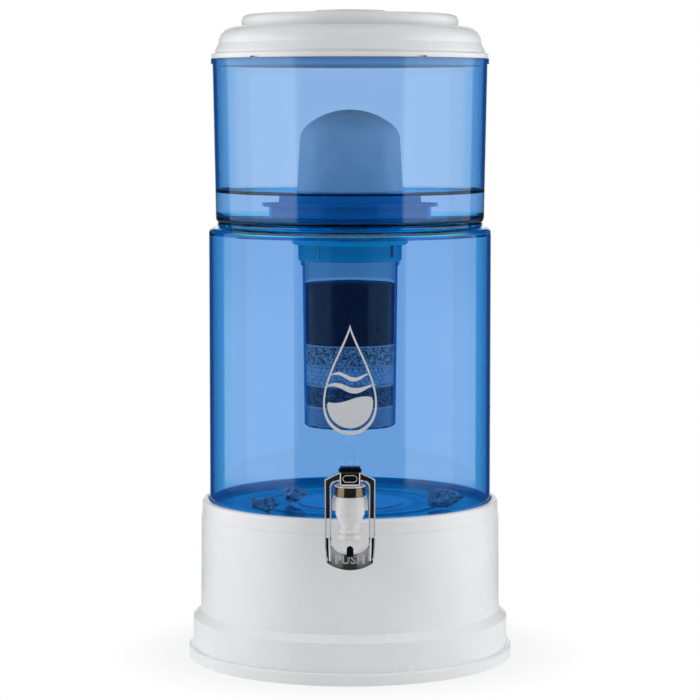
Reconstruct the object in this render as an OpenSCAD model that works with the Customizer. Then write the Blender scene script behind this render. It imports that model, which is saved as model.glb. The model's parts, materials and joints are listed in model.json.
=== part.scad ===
// Gravity water filter: a ceramic dome in the upper tank drains through a layered cartridge
// into the lower tank, which stands in a stepped stand and has a push-lever tap.
// Millimetres, +Z up, origin on the axis at the underside of the stand, tap towards -Y.

/* [Stand] */
// Height of the stand to the top of its rim
stand_h = 131.5; // [110:0.5:160]
// Wall of the stand
stand_wall = 3; // [2.4:0.1:4]
// Depth of the recess that the lower tank stands in
seat_depth = 8; // [5:0.5:11]
// Gap between the lower tank and the rim
seat_gap = 1.3; // [0.8:0.1:2.5]
// Width of the rim round the tank
rim_wall = 4.9; // [4:0.1:8]
// Height of the rim band
rim_h = 12.7; // [12:0.1:18]
// Width of the ledge under the rim band
rim_ledge = 0.8; // [0.3:0.1:2]
// Widening of the drum towards its foot
drum_flare = 0.7; // [0:0.1:6]
// Height to the top of the second step
step_h = 33.3; // [24:0.1:45]
// Width that the second step stands out from the drum
step_out = 6.3; // [4:0.1:12]
// Height of the slope from the second step to the drum
slope_h = 6; // [3:0.5:12]
// Height of the foot step
foot_h = 10; // [6:0.5:16]
// Width that the foot step stands out
foot_out = 3.6; // [2:0.1:8]
// Radius of the shallow dish in the middle of the deck
dish_r = 44; // [25:1:70]
// Depth of the dish
dish_d = 2; // [1:0.5:5]
// Number of ribs under the deck
rib_count = 8; // [4:1:16]
// Depth of the ribs under the deck
rib_d = 14; // [6:1:30]

/* [Lower tank] */
// Outer radius of the lower tank
tank_r = 117.2; // [110:0.2:130]
// Height of the lower tank
tank_h = 234.1; // [225:0.1:280]
// Wall of both tanks
tank_wall = 3; // [2.4:0.1:3.6]
// Radius of the tanks' rounded corners
tank_corner = 5; // [4:0.5:8]
// Radius of the mouth in the shoulder
mouth_r = 92; // [70:1:96]
// Thickness of the welded floor
floor_t = 3.5; // [3:0.1:5]
// Height of the raised rings on the floor
ring_rise = 0.8; // [0.4:0.1:1.5]

/* [Upper tank] */
// Height of the upper tank
upper_h = 135.5; // [120:0.5:170]
// Outer radius at the foot of the upper tank
upper_foot_r = 111.4; // [105:0.2:113]
// Widening of the wall from foot to rim
upper_flare = 2.4; // [0:0.1:5]
// Height of the ring that the upper tank rests on
rest_h = 2.9; // [2:0.1:6]
// Height of the rim flange
upper_rim_h = 4.5; // [3:0.5:8]
// Width that the rim flange stands out
upper_rim_out = 1.3; // [0.8:0.1:3]
// Thickness of the upper tank's floor
upper_floor_t = 4; // [3:0.1:6]
// Depth of the ring that centres the upper tank in the mouth
centring_d = 9.5; // [5:0.5:11]

/* [Lid] */
// Height of the lid to the top of its disc
lid_h = 38; // [32:0.5:50]
// Height of the lid's flange
lid_flange_h = 4.4; // [3:0.1:7]
// Wall of the lid
lid_wall = 2.6; // [2:0.1:3.5]
// Height of the raised disc
disc_h = 11; // [8:0.5:13]
// Radius of the raised disc
disc_r = 89.6; // [75:0.2:92]
// Radius of the small centre disc
knob_r = 28.9; // [15:0.1:50]
// Height of the small centre disc
knob_h = 1.8; // [1:0.1:4]
// Number of air notches under the flange
notch_count = 5; // [3:1:10]

/* [Dome filter] */
// Radius of the ceramic dome at its seat
dome_r = 44.5; // [40:0.1:46]
// Radius of the ceramic dome under its crown
dome_top_r = 41.6; // [38:0.1:43]
// Height of the ceramic dome
dome_h = 77.4; // [65:0.1:95]
// Wall of the ceramic dome
dome_wall = 7; // [5:0.5:9]
// Radius of the crown
crown_r = 56; // [50:0.5:64]
// Radius of the round between side and crown
crown_corner = 18; // [14:0.5:20]
// Height of the holder under the dome
holder_h = 11; // [9:0.5:16]
// Radius of the holder's body
holder_r = 50.5; // [49:0.5:58]
// Width that the holder's flange stands out
holder_out = 4.3; // [2:0.1:8]
// Radius of the hollow screw below the holder
screw_r = 8; // [7:0.1:10]

/* [Cartridge] */
// Distance from the upper tank to the top of the cartridge
drop_h = 12.5; // [12:0.5:20]
// Radius of the cap's flange
cap_r = 48.5; // [46:0.5:60]
// Height of the cap
cap_h = 18; // [15:0.5:24]
// Thickness of the cap's flange
cap_flange_t = 5; // [4:0.5:6.5]
// Radius of the cartridge body under the cap
body_r = 39.7; // [36:0.1:44]
// Narrowing of the cartridge body towards its bottom
body_taper = 1.7; // [0.5:0.1:4]
// Length of the cartridge body below the cap
body_l = 138; // [128:0.5:160]
// Wall of the cartridge body
body_wall = 2; // [1.6:0.1:3]
// Height of the bottom layer
silica_h = 14.5; // [10:0.5:18]
// Height of the dark mineral layer
mineral_h = 16.5; // [10:0.5:18]
// Height of the layer of pale balls
balls_h = 15; // [10:0.5:17]
// Height of the grey granules
granules_h = 15; // [10:0.5:17]
// Height of the black carbon
carbon_h = 50; // [30:0.5:52]
// Thickness of a divider pad
pad_t = 1.5; // [1:0.1:3]

/* [Tap] */
// Height of the tap above the lower floor
tap_rise = 19; // [18.5:0.5:40]
// Distance from the tank's boss to the spout's axis
tap_reach = 38.2; // [37:0.1:50]
// Outer radius of the tap's chamber
vase_r = 11.5; // [11:0.1:12]
// Inner radius of the chamber
chamber_r = 8.5; // [7.8:0.1:9]
// Inner radius of the spout and the shank
spout_bore_r = 5; // [4:0.1:5.5]
// Outer radius of the spout's neck
spout_r = 7.4; // [7:0.1:8]
// Depth of the spout below the shank's axis
spout_drop = 25; // [23:0.5:32]
// Radius of the shank
shank_r = 7.5; // [7:0.1:9]
// Radius of the flange against the tank
tap_flange_r = 13.5; // [12:0.5:13.5]
// Radius of the valve stem
stem_r = 2.5; // [2:0.1:2.8]
// Radius of the hinge pin
pin_r = 1.5; // [1:0.1:1.6]

/* [Lever] */
// Half width of the lever's loop
lever_w = 19.6; // [18.5:0.1:24]
// Width of the loop's rails
rail_w = 4.85; // [4:0.05:5]
// Thickness of the lever
lever_t = 3.6; // [3:0.1:4.5]
// Reach of the lever below its hinge
lever_drop = 72.6; // [68:0.1:80]
// Radius of the lever's curve seen from the side
lever_curve = 158; // [140:1:200]
// Distance of the hinge in front of the stem
hinge_arm = 9; // [8.5:0.1:9.5]
// Half width of the black block
block_w = 7.75; // [7.7:0.05:9]
// Number of ribs on the thumb grip
grip_ribs = 7; // [4:1:9]

/* [Stones] */
// Size of the mineral stones
stone_size = 30; // [20:1:32]

/* [Hidden] */
$fn = 96;
eps = 0.5;          // how far a cut runs past the face that it opens
fit = 0.1;          // play of parts that are pressed or screwed together
run = 0.05;         // radial play of a turning or sliding shaft

// Stand
deck_z = stand_h - seat_depth;
deck_under = deck_z - stand_wall;
rim_in_r = tank_r + seat_gap;
rim_r = rim_in_r + rim_wall;
rim_z = stand_h - rim_h;
rim_round = 3;
drum_top_r = rim_r + rim_ledge;
drum_foot_r = drum_top_r + drum_flare;
step_r = drum_foot_r + step_out;
foot_r = step_r + foot_out;
foot_round = 2;
rib_t = 2.2;

// Lower tank
tank_in_r = tank_r - tank_wall;
tank_top = deck_z + tank_h;
plate_t = 1.5;      // part of the floor that lies under the wall
floor_top = deck_z + floor_t;
lip_d = 7;          // depth of the mouth's lip
lip_t = 2.4;
boss_r = 17;
boss_proud = 0.6;
boss_in = 2.2;
boss_y = tank_r + boss_proud;
boss_t = boss_proud + tank_wall + boss_in;

// Upper tank
upper_z = tank_top + rest_h;
upper_floor = upper_z + upper_floor_t;
upper_top = upper_z + upper_h;
upper_rim_r = upper_foot_r + upper_flare + upper_rim_out;
upper_in_r = upper_foot_r + upper_flare - tank_wall;
rest_r = mouth_r + 6;
rest_w = 3;
centring_gap = 0.5;
centring_t = 2.4;

// Lid
lid_flange_r = upper_rim_r - 0.7;
lid_side_r = lid_flange_r - 2.6;
lid_round = 13.3;
shoulder_h = lid_h - disc_h;
skirt_d = 6;
skirt_gap = 0.6;
notch_w = 8;
notch_h = 1.2;

// Dome filter
gasket_t = 1.5;
holder_z = upper_floor + gasket_t;
holder_top = holder_z + holder_h;
holder_flange_t = 2.8;
dome_z = holder_top;
dome_top = dome_z + dome_h;
crown_z = dome_top - crown_r;
corner_x = dome_top_r - crown_corner;
corner_z = crown_z + sqrt(pow(crown_r - crown_corner, 2) - pow(corner_x, 2));
screw_bore_r = screw_r - 4;
gasket_r = screw_r + 14;
washer_t = 2;
nut_t = 7;
nut_r = screw_r + 7;
screw_bottom = upper_z - drop_h - 4;

// Cartridge
cap_top = upper_z - drop_h;
cap_z = cap_top - cap_h;
skirt_r = body_r + 3.3;
bead_h = 4;
bead_r = body_r + 1.5;
body_z = cap_z - body_l;
body_foot_r = body_r - body_taper;
body_floor_t = 1.6;
media_gap = 0.2;
silica_z = body_z + body_floor_t + media_gap;
mineral_z = silica_z + silica_h + pad_t;
balls_z = mineral_z + mineral_h + pad_t;
granules_z = balls_z + balls_h + pad_t;
carbon_z = granules_z + granules_h + pad_t;

// Tap, in its own frame: origin where the shank's axis meets the spout's axis
tap_z = floor_top + tap_rise;
tap_y = boss_y + tap_reach;
vase_top = 10;
wide_z = -3;        // where the vase starts to narrow
seat_z = -7;
neck_z = -15;
ring_out = 1.3;
barrel_r = 8.5;
tap_flange_t = 3.2;
gland_t = 2;        // washers of the tap
shank_end = tap_reach + boss_t + 12;
tap_nut_t = 6;
tap_nut_r = shank_r + 6.4;
collar_r = vase_r + 0.75;
collar_z = 9.3;
collar_h = 7.4;
bonnet_plug = 2;
bonnet_top = 17.9;
seal_r = chamber_r - 1.3;
seal_t = 2.5;
spring_r = stem_r + 2.1;
wire_r = 0.45;
spring_turns = 5;
spring_low = seat_z + seal_t + wire_r + 0.05;
spring_high = vase_top - bonnet_plug - wire_r - 0.05;

// Lever, in the tap's frame
hinge_y = -hinge_arm;
hinge_z = bonnet_top + 4.1;
lug_r = pin_r + 1.1;
lug_w = block_w - 2.35;
cheek_t = 1.85;     // side walls of the block
cheek_in = block_w - cheek_t;
nose_r = 1.5;
nose_gap = 0.3;
stem_head_r = stem_r + 2.1;
stem_head_t = 2;
stem_head_z = hinge_z + nose_r + nose_gap;
arm_in = stem_r + 0.5;
web_y = hinge_y + lug_r + 0.4;
web_t = 1.1;
block_front = hinge_y - lug_r - 2.5;
block_back = 5;
block_low = hinge_z - 2.8;
block_top = hinge_z + 7.7;
block_roof = stem_head_z + stem_head_t + 1.7;
bezel_out = 0.5;
bezel_w = 1.3;
shoulder_z = hinge_z + 1.5;
lever_low = hinge_z - lever_drop;
curve_y = hinge_y - 1.4 + lever_drop * 0.27 - lever_curve;
window_top = hinge_z + 0.5;
window_w = lever_w - rail_w;
window_round = 7;
scoop_r = window_w + 2.2;
scoop_low = lever_low + 13.2;
tip_r = 31.4;
groove_w = 2.2;
groove_d = 0.7;
grip_h = 3.4;
grip_w = 8;
grip_y = -10;
grip_l = 10;

// A solid of revolution's half profile with a rounded top corner
module top_rounded(r, h, c) {
    square([r, h - c]);
    square([r - c, h]);
    translate([r - c, h - c]) circle(c);
}

// The same with a rounded bottom corner
module bottom_rounded(r, h, c) {
    translate([0, c]) square([r, h - c]);
    square([r - c, h]);
    translate([r - c, c]) circle(c);
}

// A flat ring of a given height, standing at z
module ring(r_out, r_in, h, z = 0) {
    translate([0, 0, z]) difference() {
        cylinder(r = r_out, h = h);
        translate([0, 0, -eps]) cylinder(r = r_in, h = h + 2 * eps);
    }
}

// A cylinder along Y, from y0 to y1
module along_y(r, y0, y1) {
    translate([0, y0, 0]) rotate([-90, 0, 0]) cylinder(r = r, h = y1 - y0);
}

// A cylinder along X, centred
module along_x(r, half) {
    rotate([0, 90, 0]) translate([0, 0, -half]) cylinder(r = r, h = 2 * half);
}

module at_tap() {
    translate([0, -tap_y, tap_z]) children();
}

// ---- Stand ----

module stand_outline() {
    top_rounded(foot_r, foot_h, foot_round);
    square([step_r, step_h]);
    polygon([
        [0, step_h - eps], [step_r, step_h - eps], [step_r, step_h],
        [drum_foot_r, step_h + slope_h], [drum_top_r, rim_z], [0, rim_z]
    ]);
    top_rounded(rim_r, stand_h, rim_round);
}

module stand_hollow() {
    translate([0, -eps]) square([foot_r - stand_wall, foot_h - stand_wall + eps]);
    translate([0, -eps]) square([step_r - stand_wall, step_h - stand_wall / 2 + eps]);
    polygon([
        [0, 0], [step_r - stand_wall, 0], [step_r - stand_wall, step_h - stand_wall / 2],
        [drum_foot_r - stand_wall, step_h + slope_h - stand_wall / 2],
        [drum_top_r - stand_wall, deck_under], [0, deck_under]
    ]);
}

module stand_profile() {
    difference() {
        union() {
            difference() {
                stand_outline();
                stand_hollow();
            }
            translate([0, deck_under - dish_d]) square([dish_r + stand_wall, dish_d + eps]);
            translate([dish_r, deck_under - rib_d]) square([stand_wall, rib_d + eps]);
        }
        translate([0, deck_z]) square([rim_in_r, seat_depth + eps]);
        translate([0, deck_z - dish_d]) square([dish_r, dish_d + eps]);
    }
}

module stand() {
    color("whitesmoke") {
        rotate_extrude() stand_profile();
        for (i = [0 : rib_count - 1])
            rotate(360 / rib_count * (i + 0.5))
                translate([dish_r + stand_wall / 2, -rib_t / 2, deck_under - rib_d])
                    cube([drum_top_r - dish_r - stand_wall, rib_t, rib_d + eps]);
    }
}

// ---- Lower tank ----

module lower_tank_shell() {
    wall_z = deck_z + plate_t;
    wall_h = tank_h - plate_t;
    color([0.25, 0.5, 0.85, 0.5]) difference() {
        union() {
            translate([0, 0, wall_z]) rotate_extrude() {
                difference() {
                    top_rounded(tank_r, wall_h, tank_corner);
                    translate([0, -eps])
                        top_rounded(tank_in_r, wall_h - tank_wall + eps, tank_corner - tank_wall / 2);
                    square([mouth_r, wall_h + eps]);
                }
                translate([mouth_r, wall_h - lip_d]) square([lip_t, lip_d - tank_wall / 2]);
            }
            at_tap() along_y(boss_r, tap_reach, tap_reach + boss_t);
        }
        at_tap() along_y(shank_r + 0.5, tap_reach - eps, tap_reach + boss_t + eps);
    }
}

module lower_tank_floor() {
    plug_r = tank_in_r - fit;
    color([0.2, 0.45, 0.85, 0.5]) translate([0, 0, deck_z]) {
        cylinder(r = tank_r, h = plate_t);
        cylinder(r = plug_r, h = floor_t);
        ring(plug_r * 0.66, plug_r * 0.62, floor_t + ring_rise);
        cylinder(r = dish_r, h = floor_t + ring_rise);
    }
}

// A broken rock: the hull of points strewn in a flattened ball, a third of them on its flat foot
module rock(size, flat, seed) {
    n = 24;
    golden = 137.5;
    jitter = rands(-14, 14, n, seed);
    height = rands(0.15, 1, n, seed + 1);
    reach = rands(0.84, 1, n, seed + 2);
    hull() for (i = [0 : n - 1]) {
        turn = golden * i + jitter[i];
        lift = i % 3 == 0 ? 0 : height[i];
        r = size / 2 * reach[i] * (1 - 0.5 * lift * lift);
        translate([r * cos(turn), r * sin(turn) * 0.72, size * flat * lift]) cube(0.5);
    }
}

module stone_front() {
    color("darkslategray") translate([-69, -57, floor_top + 0.3]) rotate(12)
        rock(stone_size * 0.93, 0.5, 7);
}

module stone_back() {
    color("darkslategray") translate([-47, -13, floor_top + ring_rise + 0.3]) rotate(-30)
        rock(stone_size * 0.8, 0.58, 21);
}

module stone_right() {
    color("darkslategray") translate([77, -38, floor_top + ring_rise + 0.3]) rotate(-10)
        rock(stone_size * 1.06, 0.52, 33);
}

// ---- Tap ----

// Radius of the vase a share t of the way from its widest part down to the spout's neck
function vase_at(t) = spout_r + (vase_r - spout_r) * (0.5 + 0.5 * cos(180 * t));

module tap_body() {
    bands = 10;
    foot_ring_h = 3;
    color([0.92, 0.93, 0.92, 0.8]) at_tap() difference() {
        union() {
            rotate_extrude() {
                polygon(concat(
                    [[0, vase_top], [vase_r - 0.6, vase_top], [vase_r, collar_z - 0.2]],
                    [for (i = [0 : bands]) [vase_at(i / bands), wide_z + (neck_z - wide_z) * i / bands]],
                    [[spout_r, -spout_drop], [0, -spout_drop]]
                ));
                translate([spout_r, neck_z - 3]) circle(ring_out);
                translate([0, -spout_drop + 1]) square([spout_r + ring_out, foot_ring_h]);
            }
            along_y(barrel_r, chamber_r / 2, tap_reach - gland_t);
            along_y(tap_flange_r, tap_reach - gland_t - tap_flange_t, tap_reach - gland_t);
            along_y(shank_r, tap_reach - gland_t - eps, shank_end);
            for (side = [-1, 1])
                translate([side * (vase_r + 0.7) - 1.7, -2, -2]) cube([3.4, 4, 9]);
        }
        translate([0, 0, seat_z]) cylinder(r = chamber_r, h = vase_top - seat_z + eps);
        translate([0, 0, -spout_drop - eps]) cylinder(r = spout_bore_r, h = spout_drop + seat_z + 2 * eps);
        along_y(spout_bore_r, 0, shank_end + eps);
    }
}

module tap_bonnet() {
    cap_t = bonnet_top - collar_z - collar_h - 0.1;
    color("white") at_tap() difference() {
        union() {
            translate([0, 0, vase_top - bonnet_plug]) cylinder(r = chamber_r - fit, h = bonnet_plug);
            translate([0, 0, vase_top]) cylinder(r = vase_r - 0.2, h = bonnet_top - vase_top - cap_t + eps);
            translate([0, 0, bonnet_top - cap_t]) rotate_extrude()
                top_rounded(vase_r + 0.5, cap_t, cap_t / 2);
            translate([0, hinge_y, hinge_z]) along_x(lug_r, lug_w);
            translate([-lug_w, hinge_y - lug_r + 1, bonnet_top - cap_t])
                cube([2 * lug_w, 2 * lug_r - 1, hinge_z - bonnet_top + cap_t]);
        }
        cylinder(r = stem_r + run, h = hinge_z);
        translate([0, hinge_y, hinge_z]) along_x(pin_r + run, lug_w + eps);
    }
}

module tap_collar_ring() {
    color("tan") at_tap() ring(collar_r, vase_r + fit, collar_h, collar_z);
}

module tap_outer_washer() {
    color("gainsboro") at_tap() rotate([-90, 0, 0])
        ring(tap_flange_r - 1, shank_r + fit, gland_t, tap_reach - gland_t);
}

module tap_inner_washer() {
    color("gainsboro") at_tap() rotate([-90, 0, 0])
        ring(tap_nut_r - 1, shank_r + fit, gland_t, tap_reach + boss_t);
}

module tap_nut() {
    color("white") at_tap() rotate([-90, 0, 0])
        translate([0, 0, tap_reach + boss_t + gland_t]) difference() {
            cylinder(r = tap_nut_r, h = tap_nut_t, $fn = 6);
            translate([0, 0, -eps]) cylinder(r = shank_r + fit, h = tap_nut_t + 2 * eps);
        }
}

module valve_stem() {
    foot = seat_z + 0.6;
    color("gainsboro") at_tap() {
        translate([0, 0, foot]) cylinder(r = stem_r, h = stem_head_z + eps - foot);
        translate([0, 0, stem_head_z]) cylinder(r = stem_head_r, h = stem_head_t);
    }
}

module valve_seal() {
    nose = 2.5;
    color("silver") at_tap() difference() {
        union() {
            translate([0, 0, seat_z]) cylinder(r = seal_r, h = seal_t);
            translate([0, 0, seat_z - nose])
                cylinder(r1 = spout_bore_r / 2, r2 = spout_bore_r - 0.6, h = nose + eps);
        }
        translate([0, 0, seat_z + 0.5]) cylinder(r = stem_r, h = seal_t);
    }
}

// Coil of round wire: a ring of points at each step of the helix, joined by quads
module valve_spring() {
    sides = 6;
    steps = 14 * spring_turns;
    rise = spring_high - spring_low;
    points = [for (i = [0 : steps]) for (k = [0 : sides - 1])
        let (a = 360 * spring_turns * i / steps, b = 360 * k / sides, r = spring_r + wire_r * cos(b))
        [r * cos(a), r * sin(a), spring_low + rise * i / steps + wire_r * sin(b)]];
    quads = [for (i = [0 : steps - 1]) for (k = [0 : sides - 1])
        let (n = (k + 1) % sides)
        [i * sides + k, i * sides + n, (i + 1) * sides + n, (i + 1) * sides + k]];
    ends = [
        [for (k = [0 : sides - 1]) sides - 1 - k],
        [for (k = [0 : sides - 1]) steps * sides + k]
    ];
    color("silver") at_tap() polyhedron(points, concat(quads, ends));
}

// ---- Lever ----

// Front outline of the loop and paddle, X across and Z up
module lever_outline() {
    taper_z = lever_low + 18;
    difference() {
        intersection() {
            polygon([
                [-block_w, block_top], [-lever_w, shoulder_z], [-lever_w, taper_z],
                [-lever_w + 2.4, lever_low], [lever_w - 2.4, lever_low],
                [lever_w, taper_z], [lever_w, shoulder_z], [block_w, block_top]
            ]);
            union() {
                translate([0, lever_low + tip_r]) circle(tip_r);
                translate([-lever_w, taper_z]) square([2 * lever_w, block_top - taper_z]);
            }
        }
        translate([0, scoop_low + scoop_r]) intersection() {
            circle(scoop_r);
            square([2 * window_w, 2 * scoop_r], center = true);
        }
        translate([-window_w, scoop_low + scoop_r])
            square([2 * window_w, window_top - window_round - scoop_low - scoop_r]);
        translate([window_round - window_w, window_top - window_round - eps])
            square([2 * (window_w - window_round), window_round + eps]);
        for (side = [-1, 1])
            translate([side * (window_w - window_round), window_top - window_round])
                circle(window_round);
    }
}

// Shallow channels along the rails and the shoulders
module groove_outline() {
    mid = lever_w - rail_w / 2;
    for (side = [-1, 1]) {
        translate([side * mid - groove_w / 2, lever_low + 8])
            square([groove_w, shoulder_z - lever_low - 9]);
        polygon([
            [side * (mid + groove_w / 2), shoulder_z - 1.2], [side * (mid - groove_w / 2), shoulder_z - 3],
            [side * (block_w + 1.6), block_top - 5.4], [side * (block_w + 1.6), block_top - 2]
        ]);
    }
}

// The curved slab that the outline is cut from: an arc seen from the side
module lever_slab(front, back) {
    span = 2 * lever_w + 2;
    translate([span / 2, curve_y, lever_low]) rotate([90, 0, -90]) linear_extrude(span)
        difference() {
            circle(lever_curve + back, $fn = 360);
            circle(lever_curve - front, $fn = 360);
            translate([-2 * lever_curve, -2 * lever_curve])
                square([4 * lever_curve, 2 * lever_curve - 2]);
            translate([0, -2 * lever_curve]) square([2 * lever_curve, 4 * lever_curve]);
        }
}

module upright(depth, y) {
    translate([0, y, 0]) rotate([90, 0, 0]) linear_extrude(depth) children();
}

module lever_frame() {
    half = lever_t / 2;
    reach = 60;
    frame_w = block_w + bezel_out;
    color("silver") at_tap() {
        difference() {
            intersection() {
                lever_slab(half, half);
                upright(reach, reach / 2) lever_outline();
            }
            intersection() {
                lever_slab(half + eps, groove_d - half);
                upright(reach, reach / 2) groove_outline();
            }
            translate([-block_w, block_front - reach, block_low - eps])
                cube([2 * block_w, block_back - block_front + reach, block_top - block_low + 2 * eps]);
        }
        difference() {
            translate([-frame_w, block_front - bezel_out, block_low])
                cube([2 * frame_w, bezel_out + lever_t, block_top - block_low]);
            translate([-block_w, block_front, block_low - eps])
                cube([2 * block_w, lever_t + eps, block_top - block_low + 2 * eps]);
            translate([bezel_w - frame_w, block_front - bezel_out - eps, block_low + bezel_w])
                cube([2 * (frame_w - bezel_w), bezel_out + 2 * eps, block_top - block_low - 2 * bezel_w]);
        }
    }
}

module lever_head() {
    arm_w = cheek_in - arm_in - 0.1;
    grip_pitch = 2 * grip_w / grip_ribs;
    color("dimgray") at_tap() difference() {
        union() {
            difference() {
                translate([-block_w, block_front, block_low])
                    cube([2 * block_w, block_back - block_front, block_top - block_low]);
                translate([-cheek_in, block_front + 2, block_low - eps])
                    cube([2 * cheek_in, block_back - block_front, block_roof - block_low + eps]);
            }
            for (side = [-1, 1]) {
                translate([side * (arm_in + arm_w / 2) - arm_w / 2, web_y, hinge_z - nose_r])
                    cube([arm_w, web_t, block_roof - hinge_z + nose_r + eps]);
                translate([side * (arm_in + arm_w / 2) - arm_w / 2, web_y, hinge_z - nose_r])
                    cube([arm_w, -web_y, 2 * nose_r]);
                translate([side * (arm_in + arm_w / 2), 0, hinge_z]) along_x(nose_r, arm_w / 2);
            }
            translate([-grip_w - 1, grip_y - 1, block_top]) cube([2 * grip_w + 2, grip_l + 2, 0.8]);
            translate([-grip_w, grip_y, block_top]) cube([2 * grip_w, grip_l, grip_h - 1]);
            for (i = [0 : grip_ribs - 1])
                translate([(i + 0.5) * grip_pitch - grip_w, 0, block_top + grip_h - 1])
                    along_y(grip_pitch * 0.42, grip_y, grip_y + grip_l);
        }
        translate([0, hinge_y, hinge_z]) along_x(pin_r, block_w + eps);
    }
}

module lever_oval_ring() {
    oval_w = block_w - 2.5;
    oval_h = 2.9;
    wire = 0.6;
    color("silver") at_tap()
        upright(bezel_out, block_front) translate([0, (block_low + block_top) / 2]) difference() {
            oval(oval_w, oval_h);
            oval(oval_w - wire, oval_h - wire);
        }
}

// A rounded slot shape, half width w and half height h
module oval(w, h) {
    square([2 * (w - h), 2 * h], center = true);
    for (side = [-1, 1])
        translate([side * (w - h), 0]) circle(h);
}

module hinge_pin() {
    color("lightgray") at_tap() translate([0, hinge_y, hinge_z]) along_x(pin_r, block_w - 0.3);
}

// ---- Upper tank and its filter ----

module upper_tank() {
    c = tank_corner;
    in_c = c - tank_wall / 2;
    top_r = upper_foot_r + upper_flare;
    color([0.3, 0.55, 0.88, 0.5]) translate([0, 0, upper_z]) rotate_extrude() {
        difference() {
            union() {
                polygon([[0, c], [upper_foot_r, c], [top_r, upper_h], [0, upper_h]]);
                square([upper_foot_r - c, c + eps]);
                translate([upper_foot_r - c, c]) circle(c);
                translate([0, upper_h - upper_rim_h]) square([upper_rim_r, upper_rim_h]);
            }
            translate([0, upper_floor_t]) {
                polygon([
                    [0, in_c], [upper_foot_r - tank_wall, in_c],
                    [upper_in_r, upper_h], [0, upper_h]
                ]);
                square([upper_foot_r - tank_wall - in_c, in_c + eps]);
                translate([upper_foot_r - tank_wall - in_c, in_c]) intersection() {
                    circle(in_c);
                    translate([0, -in_c]) square([in_c, 2 * in_c]);
                }
            }
            square([screw_r + 0.5, 3 * upper_floor_t], center = false);
            translate([-upper_rim_r, -eps]) square([upper_rim_r, upper_h + 2 * eps]);
        }
        translate([rest_r, -rest_h]) square([rest_w, rest_h + eps]);
        translate([mouth_r - centring_gap - centring_t, -centring_d])
            square([centring_t, centring_d + eps]);
    }
}

module floor_gasket() {
    color("gainsboro") ring(gasket_r, screw_r + fit, gasket_t, upper_floor);
}

module dome_holder() {
    flange_z = holder_h - holder_flange_t / 2;
    rim_t = 2.5;
    color("whitesmoke") translate([0, 0, holder_z]) rotate_extrude() difference() {
        union() {
            bottom_rounded(holder_r, holder_h, 1.5);
            translate([0, flange_z]) square([holder_r + holder_out, holder_flange_t]);
        }
        translate([gasket_r + 1, -eps]) square([holder_r - rim_t - gasket_r - 1, holder_h - 4 + eps]);
        translate([0, holder_h]) square([dome_r + fit, holder_flange_t]);
        translate([0, -eps]) square([screw_r, holder_h + 2 * eps]);
    }
}

// Half profile of the dome, or of its inside when inset by the wall
module dome_outline(inset) {
    side_r = dome_r - inset;
    big = crown_r - inset;
    k = (crown_r + 20) / (crown_r - crown_corner);
    polygon([
        [0, dome_z - eps], [side_r, dome_z - eps], [side_r, dome_z],
        [dome_top_r - inset, corner_z], [0, corner_z]
    ]);
    translate([corner_x, corner_z]) circle(crown_corner - inset);
    translate([0, crown_z]) intersection() {
        circle(big);
        polygon([[0, 0], [corner_x * k, (corner_z - crown_z) * k], [0, 2 * crown_r]]);
    }
}

module ceramic_dome() {
    color("white") rotate_extrude() difference() {
        intersection() {
            dome_outline(0);
            translate([0, dome_z]) square([2 * dome_r, dome_h + eps]);
        }
        dome_outline(dome_wall);
    }
}

module dome_screw() {
    head_t = 3;
    color("gainsboro") difference() {
        union() {
            translate([0, 0, screw_bottom]) cylinder(r = screw_r, h = holder_top - screw_bottom + eps);
            translate([0, 0, holder_top]) cylinder(r = screw_r + 4, h = head_t);
        }
        translate([0, 0, screw_bottom - eps])
            cylinder(r = screw_bore_r, h = holder_top + head_t - screw_bottom + 2 * eps);
    }
}

module screw_washer() {
    color("gainsboro") ring(nut_r + 2, screw_r + fit, washer_t, upper_z - washer_t);
}

module screw_nut() {
    color("white") translate([0, 0, upper_z - washer_t - nut_t]) difference() {
        cylinder(r = nut_r, h = nut_t, $fn = 6);
        translate([0, 0, -eps]) cylinder(r = screw_r + fit, h = nut_t + 2 * eps);
    }
}

// ---- Cartridge ----

module cartridge_cap() {
    collar = 2.5;
    notch_half = 6.5;
    color([0.15, 0.55, 0.85, 0.6]) difference() {
        translate([0, 0, cap_z]) rotate_extrude() difference() {
            union() {
                square([skirt_r, cap_h - 1]);
                translate([0, cap_h - cap_flange_t]) {
                    square([cap_r - cap_flange_t / 2, cap_flange_t]);
                    translate([cap_r - cap_flange_t / 2, cap_flange_t / 2]) circle(cap_flange_t / 2);
                }
                square([screw_r + 5, cap_h + collar]);
            }
            translate([0, -eps]) square([body_r + fit + 0.5, cap_h - 3 + eps]);
            translate([0, -eps]) square([screw_r + fit, cap_h + collar + 2 * eps]);
        }
        translate([-notch_half, -cap_r - eps, cap_top - 1.2]) cube([2 * notch_half, 4, 2]);
    }
}

module cap_seal_ring() {
    color("dimgray") ring(body_r - 0.2, body_r - body_wall - 0.4, 1.2, cap_top - 3 - 1.3);
}

// Outer radius of the cartridge body at a height
function body_at(z) = body_foot_r + (body_r - body_foot_r) * (z - body_z) / body_l;

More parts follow.
